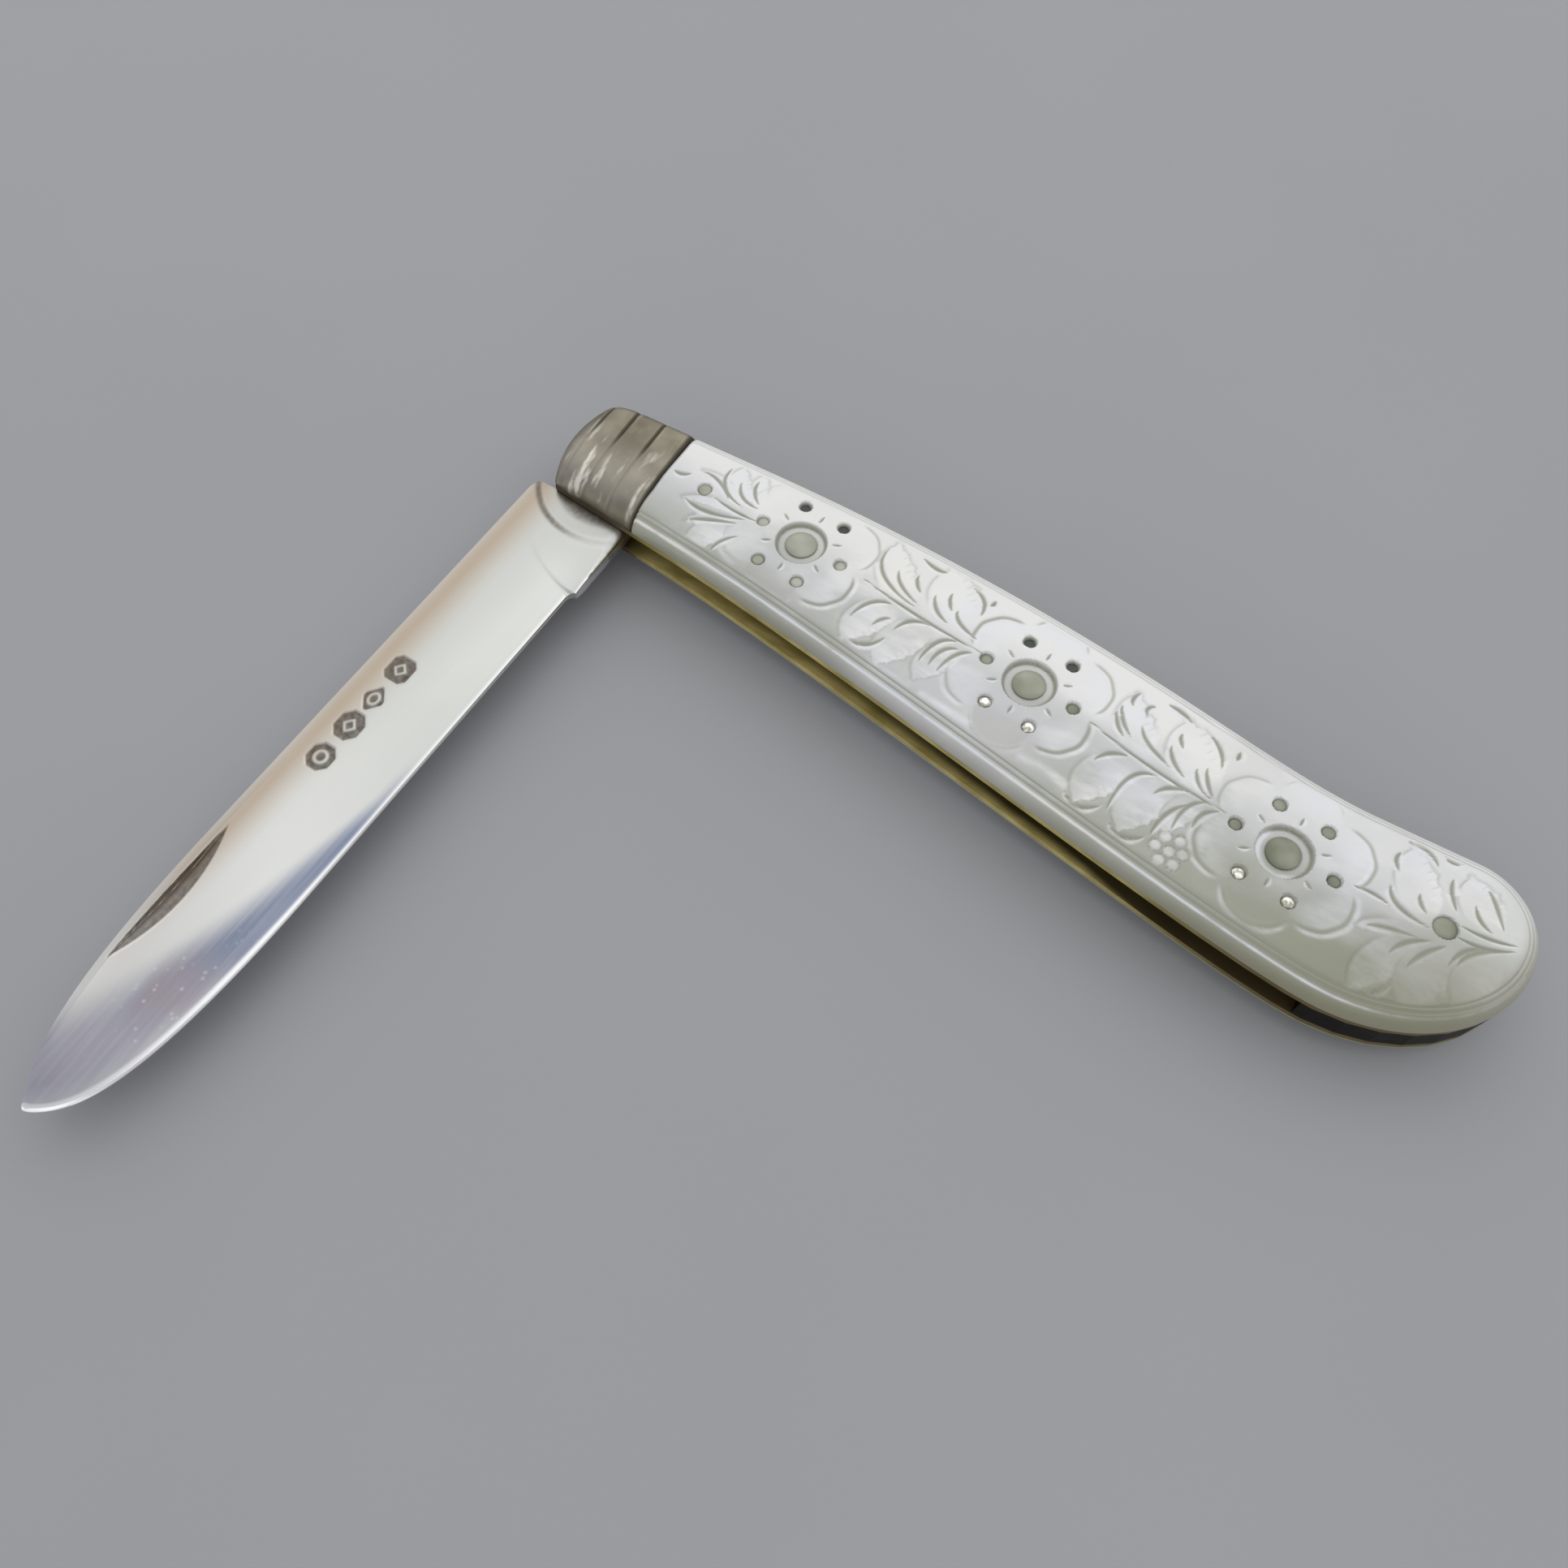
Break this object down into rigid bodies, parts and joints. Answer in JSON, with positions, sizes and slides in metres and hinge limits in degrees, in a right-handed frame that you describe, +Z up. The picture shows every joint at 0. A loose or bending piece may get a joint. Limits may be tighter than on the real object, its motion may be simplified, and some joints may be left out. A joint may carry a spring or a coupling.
{
  "type": "folding fruit knife",
  "caption": "Folding fruit knife with a rounded silver blade, carved pearl scales, silver bolsters and a back spring, shown half open.",
  "frame": {"origin": "the blade's pivot axis, in the plane that the knife lies on", "axes": "+X along the handle from the pivot to its tail, +Y from the mouth to the back of the handle, +Z up through its thickness"},
  "size_m": [0.0827, 0.0672, 0.0074],
  "materials": {
    "blade_silver": "polished",
    "bolster_silver": "satin",
    "pin_silver": "satin",
    "spring_steel": "satin",
    "liner_brass": "satin",
    "pearl": "gloss"
  },
  "bodies": {
    "handle": {"back_spring": "spring_steel", "upper_liner": "liner_brass", "lower_liner": "liner_brass", "upper_bolster": "bolster_silver", "lower_bolster": "bolster_silver", "upper_scale": "pearl", "lower_scale": "pearl", "pivot_pin": "bolster_silver", "spring_pin": "spring_steel", "tail_pin": "pin_silver", "upper_head_pin": "pin_silver", "lower_head_pin": "pin_silver", "upper_flower_rivet_1": "pin_silver", "upper_flower_rivet_2": "pin_silver", "upper_flower_rivet_3": "pin_silver", "lower_flower_rivet_1": "pin_silver", "lower_flower_rivet_2": "pin_silver", "lower_flower_rivet_3": "pin_silver"},
    "blade": {"blade": "blade_silver"}
  },
  "joints": [
    {"name": "blade_pivot", "type": "hinge", "parent": "handle", "child": "blade", "pos_m": [0, 0, 0.0037], "axis": [0, 0, 1], "range_deg": [-87.7, 84.3], "deforming": ["back_spring"]}
  ]
}
